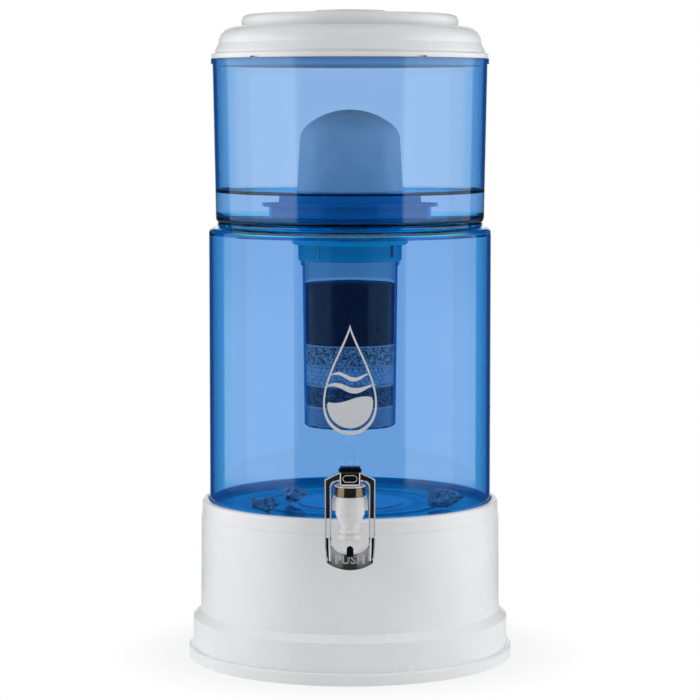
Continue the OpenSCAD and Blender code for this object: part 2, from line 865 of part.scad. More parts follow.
module cartridge_body() {
    mouth = cap_top - 3 - 1.4;
    slot_count = 12;
    color([0.55, 0.7, 0.85, 0.45]) difference() {
        rotate_extrude() difference() {
            union() {
                polygon([
                    [0, body_z], [body_foot_r - 1.5, body_z], [body_foot_r, body_z + 1.5],
                    [body_r, cap_z], [body_r, mouth], [0, mouth]
                ]);
                translate([0, cap_z - bead_h]) square([bead_r, bead_h - 0.2]);
            }
            polygon([
                [0, body_z + body_floor_t], [body_foot_r - body_wall, body_z + body_floor_t],
                [body_r - body_wall, cap_z], [body_r - body_wall, mouth + eps], [0, mouth + eps]
            ]);
        }
        for (i = [0 : slot_count - 1])
            rotate(360 / slot_count * i)
                translate([body_foot_r * 0.35, -1, body_z - eps])
                    cube([body_foot_r * 0.45, 2, body_floor_t + 2 * eps]);
    }
}

// A layer of filling that follows the body's taper
module layer(z, h, heap = 0) {
    lining = body_wall + media_gap;
    rotate_extrude() polygon([
        [0, z], [body_at(z) - lining, z], [body_at(z + h) - lining, z + h],
        [body_r * 0.5, z + h + heap * 0.7], [0, z + h + heap]
    ]);
}

module media_silica() {
    color("lightsteelblue") layer(silica_z, silica_h);
}

module media_mineral() {
    color("slategray") layer(mineral_z, mineral_h);
}

module media_balls() {
    color("powderblue") layer(balls_z, balls_h);
}

module media_granules() {
    color("gray") layer(granules_z, granules_h);
}

module media_carbon() {
    color("black") layer(carbon_z, carbon_h, 2);
}

module divider_pads() {
    color("white") for (z = [mineral_z, balls_z, granules_z, carbon_z])
        layer(z - pad_t, pad_t);
}

// ---- Lid ----

// Half profile of the lid's outside, from its flange at z = 0
module lid_outline(inset) {
    side = lid_side_r - inset;
    round_x = side - lid_round - 3.2;
    round_z = shoulder_h - 0.8 - lid_round;
    polygon([
        [0, 0], [side, 0], [side - 0.4, lid_flange_h + 2.5], [round_x + lid_round, round_z],
        [round_x, shoulder_h - 0.8 - inset], [0, shoulder_h - inset]
    ]);
    translate([round_x, round_z]) circle(lid_round - inset * 0.5);
}

module lid_disc() {
    c = 5.4;
    z = shoulder_h - 1;
    difference() {
        union() {
            polygon([
                [0, z], [disc_r - 0.8, z], [disc_r, z + 3.5],
                [disc_r, lid_h - 1.6 - c], [0, lid_h - 1.6 - c]
            ]);
            translate([disc_r - c, lid_h - 1.6 - c]) circle(c);
            polygon([
                [0, z], [disc_r - c, z], [disc_r - c, lid_h - 1.6],
                [knob_r, lid_h - 0.2], [0, lid_h]
            ]);
        }
    }
    translate([0, lid_h - eps]) top_rounded(knob_r, knob_h + eps, 0.8);
}

module lid() {
    skirt_r_out = upper_in_r - skirt_gap;
    color("whitesmoke") translate([0, 0, upper_top]) difference() {
        rotate_extrude() difference() {
            union() {
                top_rounded(lid_flange_r, lid_flange_h, 0.8);
                lid_outline(0);
                intersection() {
                    lid_disc();
                    square([disc_r + 1, lid_h + knob_h + 1]);
                }
                translate([0, -skirt_d]) square([skirt_r_out, skirt_d + eps]);
            }
            translate([0, -skirt_d - eps])
                square([skirt_r_out - lid_wall, skirt_d + lid_flange_h + eps]);
            intersection() {
                lid_outline(lid_wall);
                square([skirt_r_out - lid_wall, shoulder_h]);
            }
            translate([0, shoulder_h - 2 * lid_wall])
                square([disc_r - 2 * lid_wall, disc_h + lid_wall - 3]);
        }
        for (i = [0 : notch_count - 1])
            rotate(30 - 90 + 360 / notch_count * i)
                translate([lid_flange_r - 3, -notch_w / 2, -eps]) cube([6, notch_w, notch_h + eps]);
    }
}

stand();
lower_tank_shell();
lower_tank_floor();
stone_front();
stone_back();
stone_right();
tap_body();
tap_bonnet();
tap_collar_ring();
tap_outer_washer();
tap_inner_washer();
tap_nut();
valve_stem();
valve_seal();
valve_spring();
lever_frame();
lever_head();
lever_oval_ring();
hinge_pin();
upper_tank();
floor_gasket();
dome_holder();
ceramic_dome();
dome_screw();
screw_washer();
screw_nut();
cartridge_cap();
cap_seal_ring();
cartridge_body();
divider_pads();
media_silica();
media_mineral();
media_balls();
media_granules();
media_carbon();
lid();
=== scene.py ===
"""Looks of a gravity water filter: two clear blue tanks on a white stand, with a push-lever tap."""

import json
import math
import random

import bmesh
import bpy
from mathutils import Matrix, Vector, noise
from mathutils.bvhtree import BVHTree


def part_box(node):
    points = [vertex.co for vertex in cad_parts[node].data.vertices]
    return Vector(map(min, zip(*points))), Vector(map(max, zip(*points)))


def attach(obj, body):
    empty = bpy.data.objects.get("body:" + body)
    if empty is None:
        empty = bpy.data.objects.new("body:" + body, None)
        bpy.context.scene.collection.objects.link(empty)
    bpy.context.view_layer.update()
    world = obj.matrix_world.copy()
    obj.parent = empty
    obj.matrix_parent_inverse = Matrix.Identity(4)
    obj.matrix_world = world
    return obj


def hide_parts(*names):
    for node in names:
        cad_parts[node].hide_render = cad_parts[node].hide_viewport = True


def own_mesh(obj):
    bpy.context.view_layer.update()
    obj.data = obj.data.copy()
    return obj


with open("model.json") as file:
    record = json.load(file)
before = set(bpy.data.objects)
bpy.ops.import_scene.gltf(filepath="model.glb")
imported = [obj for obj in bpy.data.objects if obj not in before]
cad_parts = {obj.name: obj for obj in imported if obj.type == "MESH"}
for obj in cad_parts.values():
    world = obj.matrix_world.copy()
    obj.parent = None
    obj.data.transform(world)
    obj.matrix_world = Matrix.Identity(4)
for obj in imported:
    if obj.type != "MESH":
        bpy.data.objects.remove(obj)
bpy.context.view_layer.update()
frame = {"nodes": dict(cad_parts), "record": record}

MM = 0.001
SAME_PLACE = 1e-6  # how near two points are one
ON_CUT = 1e-7  # how near a point lies on a cut
SMOOTH = 3  # an angle that no edge reaches, so that none is sharp
ACROSS, UPWARD = 0, 2

# Places in the shared frame, in metres
TANK_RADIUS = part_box("lower_tank_floor")[1].x
TANK_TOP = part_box("lower_tank_shell")[1].z
UPPER_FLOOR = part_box("floor_gasket")[0].z
UPPER_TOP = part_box("upper_tank")[1].z
WATER_LEVEL = UPPER_FLOOR + 22.5 * MM


# ---- Building blocks for meshes ----


def settled(form, name, sharp=0.6):
    """Turns a bmesh into a finished object whose place is in its mesh."""
    mesh = bpy.data.meshes.new(name)
    form.to_mesh(mesh)
    form.free()
    mesh.shade_smooth()
    mesh.set_sharp_from_angle(angle=sharp)
    piece = bpy.data.objects.new(name, mesh)
    bpy.context.scene.collection.objects.link(piece)
    return piece


def dressed(piece, body, finish, replaced=()):
    """Gives a new piece its finish and the body that it moves with."""
    piece.data.materials.clear()
    piece.data.materials.append(finish)
    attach(piece, body)
    if replaced:
        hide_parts(*replaced)
    return piece


def turn(form, profile, steps=128):
    """Spins (radius, height) points about the tanks' axis into a skin."""
    points = [form.verts.new((radius, 0, height)) for radius, height in profile]
    edges = [form.edges.new(pair) for pair in zip(points, points[1:])]
    bmesh.ops.spin(
        form, geom=points + edges, cent=(0, 0, 0), axis=(0, 0, 1), angle=math.tau, steps=steps, use_merge=True
    )
    bmesh.ops.remove_doubles(form, verts=form.verts, dist=SAME_PLACE)
    bmesh.ops.recalc_face_normals(form, faces=form.faces)


def round_section(reach, height, radius, sides=8):
    """The closed outline of a round ring about the tanks' axis, as (reach, height) points."""
    angles = [math.tau * side / sides for side in range(sides)]
    outline = [(reach + radius * math.cos(angle), height + radius * math.sin(angle)) for angle in angles]
    return [*outline, outline[0]]


def thickened(form, thickness):
    """Gives a flat form a thin wall."""
    bmesh.ops.recalc_face_normals(form, faces=form.faces)
    bmesh.ops.solidify(form, geom=form.faces[:], thickness=thickness)
    return form


# ---- Building blocks for finishes ----


def add_node(tree, kind, inputs=None, **settings):
    """Adds one node. An input is a plain value or another node's output."""
    made = tree.nodes.new(kind)
    for name, value in settings.items():
        setattr(made, name, value)
    for socket, value in (inputs or {}).items():
        if isinstance(value, bpy.types.NodeSocket):
            tree.links.new(value, made.inputs[socket])
        else:
            made.inputs[socket].default_value = value
    return made


def plain(name, colour, roughness, **sockets):
    """A Principled material. Extra sockets are named with underscores for spaces."""
    finish = bpy.data.materials.new(name)
    finish.use_nodes = True
    shader = finish.node_tree.nodes["Principled BSDF"]
    shader.inputs["Base Color"].default_value = (*colour, 1)
    shader.inputs["Roughness"].default_value = roughness
    for socket, value in sockets.items():
        shader.inputs[socket.replace("_", " ")].default_value = value
    return finish, finish.node_tree, shader


def calculated(tree, operation, first, second=0.0):
    """One step of arithmetic on two values."""
    return add_node(tree, "ShaderNodeMath", {0: first, 1: second}, operation=operation).outputs["Value"]


def chained(tree, operation, first, *others):
    """The same step of arithmetic over several values."""
    for other in others:
        first = calculated(tree, operation, first, other)
    return first


def own_place(tree):
    """The piece's own coordinates, in metres."""
    return add_node(tree, "ShaderNodeTexCoord").outputs["Object"]


def height_of(tree):
    """The height of each point of the piece, in metres."""
    return add_node(tree, "ShaderNodeSeparateXYZ", {"Vector": own_place(tree)}).outputs["Z"]


def cloudy(tree, per_metre, detail=4.0, roughness=0.55):
    """Noise in the piece's own coordinates."""
    sockets = {"Vector": own_place(tree), "Scale": per_metre, "Detail": detail, "Roughness": roughness}
    return add_node(tree, "ShaderNodeTexNoise", sockets).outputs["Fac"]


def cells(tree, per_metre, feature="F1", output="Distance"):
    """Voronoi cells in the piece's own coordinates."""
    sockets = {"Vector": own_place(tree), "Scale": per_metre}
    return add_node(tree, "ShaderNodeTexVoronoi", sockets, feature=feature).outputs[output]


def shades(tree, factor, *stops):
    """A colour ramp from (position, colour) stops."""
    made = add_node(tree, "ShaderNodeValToRGB", {"Fac": factor})
    ramp = made.color_ramp
    while len(ramp.elements) < len(stops):
        ramp.elements.new(0.5)
    for element, (position, colour) in zip(ramp.elements, stops):
        element.position = position
        element.color = (*colour, 1)
    return made.outputs["Color"]


def spread(tree, factor, low, high, start=0.3, end=0.7):
    """Maps a factor from start..end to low..high."""
    sockets = {"Value": factor, "From Min": start, "From Max": end, "To Min": low, "To Max": high}
    return add_node(tree, "ShaderNodeMapRange", sockets).outputs["Result"]


def relief(tree, shader, height, depth, strength=1.0):
    """Bumps the surface by a height pattern of the given depth in metres."""
    bump = add_node(tree, "ShaderNodeBump", {"Height": height, "Distance": depth, "Strength": strength})
    tree.links.new(bump.outputs["Normal"], shader.inputs["Normal"])


def feed(tree, shader, socket, output):
    """Leads a node's output into a shader's socket."""
    tree.links.new(output, shader.inputs[socket])


def mottled(tree, shader, per_metre, low, high, detail=4.0):
    """Lets the colour drift between two shades."""
    feed(tree, shader, "Base Color", shades(tree, cloudy(tree, per_metre, detail), (0.3, low), (0.7, high)))


def hazed(tree, shader, per_metre, low, high, detail=4.0):
    """Lets the roughness drift between two values."""
    feed(tree, shader, "Roughness", spread(tree, cloudy(tree, per_metre, detail), low, high))


def colour_mix(tree, share, first, second):
    """Mixes two colours: all of the first at 0, all of the second at 1."""
    sockets = {"Factor": share, 6: first, 7: second}
    return add_node(tree, "ShaderNodeMix", sockets, data_type="RGBA").outputs[2]


def blended(tree, share, first, second):
    """Mixes two shaders: all of the first at 0, all of the second at 1."""
    return add_node(tree, "ShaderNodeMixShader", {0: share, 1: first.outputs[0], 2: second.outputs[0]})


def show(tree, shader):
    """Makes a shader the surface of its material."""
    tree.links.new(shader.outputs[0], tree.nodes["Material Output"].inputs["Surface"])


# ---- Finishes ----

BLUE_BODY = (0.33, 0.77, 0.93)
DEEP_BLUE = (0.25, 0.7, 0.98)
THICK_BLUE = (0.04, 0.8, 0.98)
THICK_WALL_SLANT = 0.9  # how far a thick wall counts as slanted
LAMP_SHARE = 0.96  # what a face lets in of a lamp's light
REFLECTION_BANDS_REACH = 0.12  # how far out the floor's bands are counted, in metres

# Heights where a finish starts to change and where the change is full
LOWER_TANK_THICK = ((0.349, 0.354), (0.1338, 0.1318))
UPPER_TANK_THICK = ((0.373, 0.3655),)
# where the painted light on the cap's flange starts and where it is full
FLANGE_LIGHT_START = (0.3427, 0.3437)
PADDLE_TOP = (0.113, 0.119)


def moulded_white(name, low, high, gloss, grain_depth):
    """White injection-moulded plastic with a faint orange peel."""
    finish, tree, shader = plain(name, high, gloss)
    feed(tree, shader, "Base Color", shades(tree, cloudy(tree, 18), (0.35, low), (0.65, high)))
    hazed(tree, shader, 45, gloss - 0.04, gloss + 0.06)
    relief(tree, shader, cloudy(tree, 700, 2), grain_depth)
    return finish


def tinted_clear(name, tint, edge_tint, absorbed, density, gloss=0.02, ior=1.5, clear=1.0, thick=()):
    """Polished clear plastic, deeper in tint at a slant and where its wall is thick. Each pair in thick holds
    the height where the deeper tint starts and the height where it is full. Lamps shine through the plastic,
    and its body takes out light."""
    finish, tree, shader = plain(name, tint, gloss, IOR=ior, Transmission_Weight=clear)
    if edge_tint:
        slant = add_node(tree, "ShaderNodeLayerWeight", {"Blend": 0.5}).outputs["Facing"]
        for start, full in thick:
            wall = spread(tree, height_of(tree), 0, THICK_WALL_SLANT, start, full)
            slant = calculated(tree, "MAXIMUM", slant, wall)
        stops = (0.4, tint), (0.58, edge_tint), (0.78, edge_tint), (0.9, THICK_BLUE)
        feed(tree, shader, "Base Color", shades(tree, slant, *stops))
    hazed(tree, shader, 25, gloss * 0.5, gloss * 1.5)
    relief(tree, shader, cloudy(tree, 14, 1), 0.03 * MM, 0.5)
    through = [math.sqrt(channel) * LAMP_SHARE for channel in tint]
    window = add_node(tree, "ShaderNodeBsdfTransparent", {"Color": (*through, 1)})
    lamp = add_node(tree, "ShaderNodeLightPath").outputs["Is Shadow Ray"]
    show(tree, blended(tree, lamp, shader, window))
    if density:
        body = add_node(tree, "ShaderNodeVolumeAbsorption", {"Color": (*absorbed, 1), "Density": density})
        tree.links.new(body.outputs["Volume"], tree.nodes["Material Output"].inputs["Volume"])
    return finish


def cap_plastic():
    """The cartridge cap, with painted light: bright on its flange, and painted shade deeper on the skirt
    below.
    """
    finish = tinted_clear("cap_blue", (0.02, 0.8, 0.95), None, (0.3, 0.85, 0.97), 60, 0.08, clear=0.2)
    tree = finish.node_tree
    # painted light on the flange, painted shade on the skirt below it
    flange = spread(tree, height_of(tree), 0, 1, *FLANGE_LIGHT_START)
    painted_light_blues = shades(tree, flange, (0, (0.02, 0.58, 0.7)), (1, (0.03, 0.98, 1.0)))
    feed(tree, tree.nodes["Principled BSDF"], "Base Color", painted_light_blues)
    return finish


def ringed_floor():
    """The lower tank's floor, with painted reflections on its moulded rings: lighter and deeper bands by
    distance from the axis, pale in the middle.
    """
    finish = tinted_clear("floor_blue", (0.1, 0.72, 0.93), None, BLUE_BODY, 100, 0.1, clear=0.75)
    tree = finish.node_tree
    shader = tree.nodes["Principled BSDF"]
    shader.inputs["Specular IOR Level"].default_value = 0.15
    level = add_node(tree, "ShaderNodeVectorMath", {0: own_place(tree), 1: (1, 1, 0)}, operation="MULTIPLY")
    out = add_node(tree, "ShaderNodeVectorMath", {0: level.outputs[0]}, operation="LENGTH").outputs["Value"]
    # painted reflections: light mirrored on the rings as bright bands, the white backdrop as the pale middle
    pale, deep, mid, bright = (0.7, 0.88, 0.97), (0.0, 0.34, 0.64), (0.05, 0.66, 0.88), (0.2, 1.0, 1.0)
    bands = [
        (0.4, pale), (0.46, deep), (0.55, mid), (0.6, bright), (0.65, deep), (0.76, mid), (0.8, bright),
        (0.86, mid), (0.93, bright), (0.97, mid),
    ]
    feed(tree, shader, "Base Color", shades(tree, calculated(tree, "DIVIDE", out, REFLECTION_BANDS_REACH), *bands))
    return finish


def smoky_plastic():
    """Thin tinted plastic that is looked through unbent."""
    finish, tree, shader = plain("smoky_plastic", (0.15, 0.4, 0.6), 0.2)
    mottled(tree, shader, 60, (0.1, 0.34, 0.52), (0.16, 0.44, 0.64))
    hazed(tree, shader, 150, 0.15, 0.3)
    window = add_node(tree, "ShaderNodeBsdfTransparent", {"Color": (0.8, 0.9, 0.94, 1)})
    show(tree, blended(tree, 0.1, window, shader))
    return finish


def fired_ceramic():
    """Bare ceramic, darker where water soaks it up to the water level, and painted there in a deep blue
    shade.
    """
    finish, tree, shader = plain("ceramic_bisque", (0.8, 0.8, 0.79), 0.85)
    dry = shades(tree, cloudy(tree, 60, 6), (0.3, (0.64, 0.64, 0.63)), (0.7, (0.72, 0.72, 0.71)))
    soaked_and_shaded = spread(tree, height_of(tree), 1, 0, WATER_LEVEL - 0.5 * MM, WATER_LEVEL + 1 * MM)
    # below the water level: soaked ceramic with a painted deep blue shade
    feed(tree, shader, "Base Color", colour_mix(tree, soaked_and_shaded, dry, (0.01, 0.32, 0.6, 1)))
    relief(tree, shader, cloudy(tree, 2500, 3), 0.06 * MM)
    return finish


def lava_rock():
    """Porous rock in mottled greys."""
    finish, tree, shader = plain("lava_rock", (0.1, 0.12, 0.16), 0.8)
    greys = (0.34, (0.05, 0.06, 0.08)), (0.5, (0.45, 0.48, 0.54)), (0.7, (0.95, 0.96, 0.98))
    feed(tree, shader, "Base Color", shades(tree, cloudy(tree, 260, 8, 0.7), *greys))
    hazed(tree, shader, 400, 0.6, 0.95)
    relief(tree, shader, cells(tree, 700), 0.9 * MM)
    return finish


def milky_plastic():
    """The tap's milky plastic, which light soaks into a little."""
    soaking = {"Subsurface_Weight": 0.35, "Subsurface_Scale": 0.004, "Coat_Weight": 0.3}
    finish, tree, shader = plain("milky_plastic", (0.8, 0.8, 0.79), 0.25, **soaking)
    mottled(tree, shader, 90, (0.68, 0.68, 0.67), (0.75, 0.75, 0.74))
    hazed(tree, shader, 160, 0.2, 0.3)
    relief(tree, shader, cloudy(tree, 900, 2), 0.015 * MM)
    return finish


def bright_plate(name, low, high, gloss, crown=0.0):
    """Polished plating over a moulded part, with faint hazing. A crown bends the mirrorings on the lever's
    paddle from side to side."""
    finish, tree, shader = plain(name, high, gloss, Metallic=1.0)
    mottled(tree, shader, 120, low, high)
    hazed(tree, shader, 300, gloss * 0.6, gloss * 1.6, 6)
    height = calculated(tree, "MULTIPLY", cloudy(tree, 220, 2), 0.008 * MM)
    if crown:
        across = add_node(tree, "ShaderNodeSeparateXYZ", {"Vector": own_place(tree)}).outputs["X"]
        paddle = spread(tree, height_of(tree), -crown / MM, 0, *PADDLE_TOP)
        height = calculated(tree, "ADD", height, chained(tree, "MULTIPLY", across, across, paddle))
    relief(tree, shader, height, 1.0)
    return finish


def black_gloss():
    """The lever's glossy black plastic."""
    finish, tree, shader = plain("black_gloss", (0.005, 0.005, 0.006), 0.16, Specular_IOR_Level=0.3)
    mottled(tree, shader, 150, (0.003, 0.003, 0.004), (0.007, 0.007, 0.008))
    hazed(tree, shader, 350, 0.12, 0.24)
    return finish


def soft_seal(name, low, high):
    """Soft rubber, as on seals and washers."""
    finish, tree, shader = plain(name, high, 0.5)
    mottled(tree, shader, 200, low, high)
    hazed(tree, shader, 500, 0.42, 0.6)
    relief(tree, shader, cloudy(tree, 1500), 0.02 * MM)
    return finish


def pressed_felt():
    """The white felt of the pads between the layers."""
    finish, tree, shader = plain("pressed_felt", (0.62, 0.64, 0.66), 0.95, Sheen_Weight=0.3)
    mottled(tree, shader, 1800, (0.5, 0.52, 0.55), (0.72, 0.74, 0.76), 8)
    relief(tree, shader, cloudy(tree, 2600, 6), 0.15 * MM)
    return finish


def grains(name, per_metre, dark, light, gloss, depth):
    """Loose grains: every cell of the pattern is a grain of its own shade."""
    finish, tree, shader = plain(name, light, gloss, Specular_IOR_Level=0.25)
    colours = cells(tree, per_metre, output="Color")
    picked = add_node(tree, "ShaderNodeSeparateColor", {"Color": colours}).outputs["Red"]
    feed(tree, shader, "Base Color", shades(tree, picked, (0.15, dark), (0.85, light)))
    hazed(tree, shader, per_metre, gloss - 0.1, gloss + 0.1)
    relief(tree, shader, cells(tree, per_metre, feature="DISTANCE_TO_EDGE"), depth)
    return finish


def print_ink():
    """The pale grey ink of the drop on the lower tank."""
    finish, tree, shader = plain("print_ink", (0.6, 0.63, 0.66), 0.4)
    mottled(tree, shader, 500, (0.6, 0.62, 0.65), (0.66, 0.68, 0.71), 6)
    hazed(tree, shader, 700, 0.35, 0.5)
    return finish


FINISHES = {
    "white_gloss": moulded_white("stand_white", (0.8, 0.805, 0.81), (0.84, 0.843, 0.85), 0.22, 0.01 * MM),
    "white_matt": moulded_white("satin_white", (0.76, 0.77, 0.78), (0.82, 0.83, 0.84), 0.42, 0.02 * MM),
    "blue_clear": tinted_clear(
        "tank_blue", (0.5, 0.67, 0.9), DEEP_BLUE, BLUE_BODY, 100, thick=LOWER_TANK_THICK
    ),
    "cap_blue": cap_plastic(),
    "cup_clear": tinted_clear("cup_clear", (0.93, 0.95, 0.97), None, (0.9, 0.9, 0.9), 0, 0.01, 1.25),
    "rock": lava_rock(),
    "ceramic": fired_ceramic(),
    "milky_plastic": milky_plastic(),
    "silicone": soft_seal("pale_silicone", (0.6, 0.62, 0.64), (0.72, 0.74, 0.76)),
    "black_rubber": soft_seal("black_rubber", (0.012, 0.012, 0.012), (0.03, 0.03, 0.03)),
    "spring_steel": bright_plate("spring_steel", (0.5, 0.5, 0.5), (0.62, 0.62, 0.63), 0.25),
    "chrome": bright_plate("lever_chrome", (0.8, 0.8, 0.81), (0.9, 0.9, 0.91), 0.06, 0.032),
    "bronze_chrome": bright_plate("collar_bronze", (0.36, 0.29, 0.21), (0.46, 0.37, 0.27), 0.12),
    "black_plastic": black_gloss(),
    "white_felt": pressed_felt(),
    "silica": grains("silica_sand", 1600, (0.28, 0.36, 0.45), (0.5, 0.58, 0.66), 0.6, 0.2 * MM),
    "dark_mineral": grains("dark_mineral", 700, (0.03, 0.045, 0.07), (0.16, 0.2, 0.27), 0.55, 0.5 * MM),
    "pale_balls": grains("pale_balls", 300, (0.6, 0.68, 0.76), (0.86, 0.9, 0.93), 0.5, 0.1 * MM),
    "grey_granules": grains("grey_granules", 650, (0.16, 0.17, 0.18), (0.95, 0.93, 0.9), 0.6, 0.5 * MM),
    "carbon": grains("black_carbon", 900, (0.004, 0.004, 0.005), (0.02, 0.02, 0.024), 0.5, 0.4 * MM),
}
UPPER_BLUE = tinted_clear(
    "upper_tank_blue", (0.65, 0.76, 0.95), (0.34, 0.7, 0.97), BLUE_BODY, 80, thick=UPPER_TANK_THICK
)
FLOOR_BLUE = ringed_floor()
HOLDER_BLUE = tinted_clear(
    "holder_blue", (0.005, 0.5, 0.8), (0.005, 0.6, 0.9), BLUE_BODY, 120, 0.1, clear=0.5
)
WATER = tinted_clear("water", (0.95, 0.98, 0.99), None, (0.9, 0.95, 1.0), 8, 0.005, 1.33)
# painted shade for the cap's slot and dent
SHADE = soft_seal("painted_recess_shade", (0.004, 0.03, 0.07), (0.01, 0.06, 0.12))
# painted shade: the dark line where the water meets the wall
WATER_LINE_SHADE = tinted_clear("painted_water_line", (0.03, 0.12, 0.25), None, (0.2, 0.3, 0.5), 900, 0.05, 1.33)
INK = print_ink()
SMOKY = smoky_plastic()
RIM_CHROME = bright_plate("rim_chrome", (0.9, 0.9, 0.91), (0.97, 0.97, 0.98), 0.32)
ENAMEL = moulded_white("pale_enamel", (0.6, 0.6, 0.61), (0.7, 0.7, 0.71), 0.35, 0.01 * MM)


def coat(node_name, finish):
    """Gives a part from the frame its finish."""
    for slot in frame["nodes"][node_name].material_slots:
        slot.material = finish


for part in frame["record"]["subparts"]:
    coat(part["node"], FINISHES[part["material_slot"]])
coat("upper_tank", UPPER_BLUE)
coat("lower_tank_floor", FLOOR_BLUE)
coat("dome_holder", HOLDER_BLUE)


# ---- Water in the upper tank ----


def upper_tank_radius(height):
    """Inner radius of the tapered upper tank, a little inside its wall so that no air is left between."""
    foot, mouth = 108.6 * MM, 111.0 * MM
    share = (height - UPPER_FLOOR) / (UPPER_TOP - UPPER_FLOOR)
    return foot + (mouth - foot) * share


def water():
    """The water in the upper tank, which creeps up the wall at its edge."""
    rise, reach, steps, fall = 2.2 * MM, 6 * MM, 8, 0.62
    bottom = UPPER_FLOOR - 0.1 * MM
    foot, top = upper_tank_radius(UPPER_FLOOR), upper_tank_radius(WATER_LEVEL + rise)
    creep = [
        (top - reach * step / steps, WATER_LEVEL + rise * math.exp(-step * fall)) for step in range(steps + 1)
    ]
    form = bmesh.new()
    turn(form, [(0, bottom), (foot, bottom), *creep, (0, WATER_LEVEL)])
    return dressed(settled(form, "upper_water"), "upper_vessel", WATER)


def painted_water_line():
    """The painted dark shade along the water's edge, where the water clings to the wall, thickest at the
    front.
    """
    wall = upper_tank_radius(WATER_LEVEL) - 0.9 * MM
    thickest, thinnest = 0.8 * MM, 0.08 * MM
    form = bmesh.new()
    turn(form, round_section(wall, WATER_LEVEL, thickest), steps=160)
    for vert in form.verts:
        core = vert.co.xy.normalized() * wall
        middle = Vector((core.x, core.y, WATER_LEVEL))
        forward = 0.5 - 0.5 * core.y / wall
        share = (thinnest + (thickest - thinnest) * forward) / thickest
        vert.co = middle + (vert.co - middle) * share
    return dressed(settled(form, "painted_water_line", SMOOTH), "upper_vessel", WATER_LINE_SHADE)


def rest_band():
    """The broad foot ring of the upper tank, between its floor and the shoulder of the lower tank."""
    low, high = TANK_TOP + 0.25 * MM, TANK_TOP + 3.6 * MM
    inner, outer, bend = 104 * MM, 110 * MM, 1.5 * MM
    angles = [math.pi * step / 12 for step in range(7)]
    rounded = [(outer - bend * (1 - math.sin(angle)), low + bend * (1 - math.cos(angle))) for angle in angles]
    form = bmesh.new()
    turn(form, [(inner, low), *rounded, (outer, high), (inner, high), (inner, low)], steps=160)
    return dressed(settled(form, "rest_band"), "upper_vessel", UPPER_BLUE)


# ---- Threads and marks on the cartridge cap ----

SKIRT_RADIUS = 43.1 * MM
FRONT = math.radians(-90)


def cap_threads():
    """Fine rings round the cap's skirt, for its thread."""
    first, pitch, thick = 333.5 * MM, 2.4 * MM, 0.35 * MM
    form = bmesh.new()
    for step in range(4):
        turn(form, round_section(SKIRT_RADIUS, first + step * pitch, thick), steps=96)
    return dressed(settled(form, "cap_threads", SMOOTH), "upper_vessel", FINISHES["cap_blue"])


def thread_glint_beads():
    """A row of tiny pale beads down the cap's skirt, left of the front: a painted highlight for light
    mirrored on the thread crests.
    """
    first, pitch, size = 332.5 * MM, 1.8 * MM, 0.6 * MM
    out, side = SKIRT_RADIUS + 0.8 * MM, FRONT - math.radians(36)
    form = bmesh.new()
    for step in range(6):
        place = Matrix.Translation((out * math.cos(side), out * math.sin(side), first + step * pitch))
        bmesh.ops.create_icosphere(form, subdivisions=1, radius=size, matrix=place)
    return dressed(settled(form, "thread_glint_beads", SMOOTH), "upper_vessel", FINISHES["white_matt"])


def cap_collar():
    """The cap's inner collar, which stands in the cup and holds the carbon down."""
    foot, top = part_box("media_carbon")[1].z + 0.4 * MM, 343.2 * MM
    inner, outer = 36.4 * MM, 37.2 * MM
    form = bmesh.new()
    turn(form, [(outer, foot), (outer, top), (inner, top), (inner, foot), (outer, foot)])
    return dressed(settled(form, "cap_collar"), "upper_vessel", SMOKY)


def cap_recess_shades():
    """Dark pieces of painted shade: one for the key slot on the right of the cap's skirt, one for the dent at
    the front of its flange.
    """
    side, height = FRONT + math.radians(53), 338.5 * MM
    place = Matrix.Translation((SKIRT_RADIUS * math.cos(side), SKIRT_RADIUS * math.sin(side), height))
    slot_size = Matrix.Diagonal((0.5 * MM, 2.6 * MM, 11 * MM, 1))
    form = bmesh.new()
    bmesh.ops.create_cube(form, size=1, matrix=place @ Matrix.Rotation(side, 4, "Z") @ slot_size)
    dent_size = Matrix.Diagonal((13 * MM, 1.2 * MM, 1.5 * MM, 1))
    dent = Matrix.Translation((2 * MM, -48.4 * MM, 349 * MM)) @ dent_size
    bmesh.ops.create_uvsphere(form, u_segments=24, v_segments=12, radius=0.5, matrix=dent)
    return dressed(settled(form, "cap_recess_shades"), "upper_vessel", SHADE)


# ---- Stones on the lower floor ----


def stone(node_name, seed):
    """A lump of rock with flat breaks, bulges and pits, which fills the box of the solid it stands for."""
    low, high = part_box(node_name)
    shift = Vector((seed * 3.1, seed * 1.7, seed * 5.3))
    draw = random.Random(seed)
    breaks = []
    for _ in range(15):
        facing = Vector([draw.gauss(0, 1) for _ in range(3)]).normalized()
        breaks.append((facing, draw.uniform(0.6, 1)))
    uncut, glancing, bulging, pitting, pit_size = 1.35, 0.3, 0.09, 0.1, 0.4
    form = bmesh.new()
    bmesh.ops.create_icosphere(form, subdivisions=6, radius=1)
    for vert in form.verts:
        way = vert.co.normalized()
        cuts = [depth / way.dot(facing) for facing, depth in breaks if way.dot(facing) > glancing]
        bulge = noise.fractal(way * 2.3 + shift, 0.9, 2.1, 6)
        pit = max(0.0, pit_size - noise.voronoi(way * 9 + shift)[0][0])
        vert.co = way * (min([*cuts, uncut]) + bulging * bulge - pitting * pit)
    lowest = Vector([min(vert.co[axis] for vert in form.verts) for axis in range(3)])
    highest = Vector([max(vert.co[axis] for vert in form.verts) for axis in range(3)])
    for vert in form.verts:
        for axis in range(3):
            share = (vert.co[axis] - lowest[axis]) / (highest[axis] - lowest[axis])
            vert.co[axis] = low[axis] + (high[axis] - low[axis]) * share
    bmesh.ops.recalc_face_normals(form, faces=form.faces)
    piece = settled(form, node_name + "_rock", SMOOTH)
    return dressed(piece, "lower_vessel", FINISHES["rock"], [node_name])


# ---- Filter layers ----


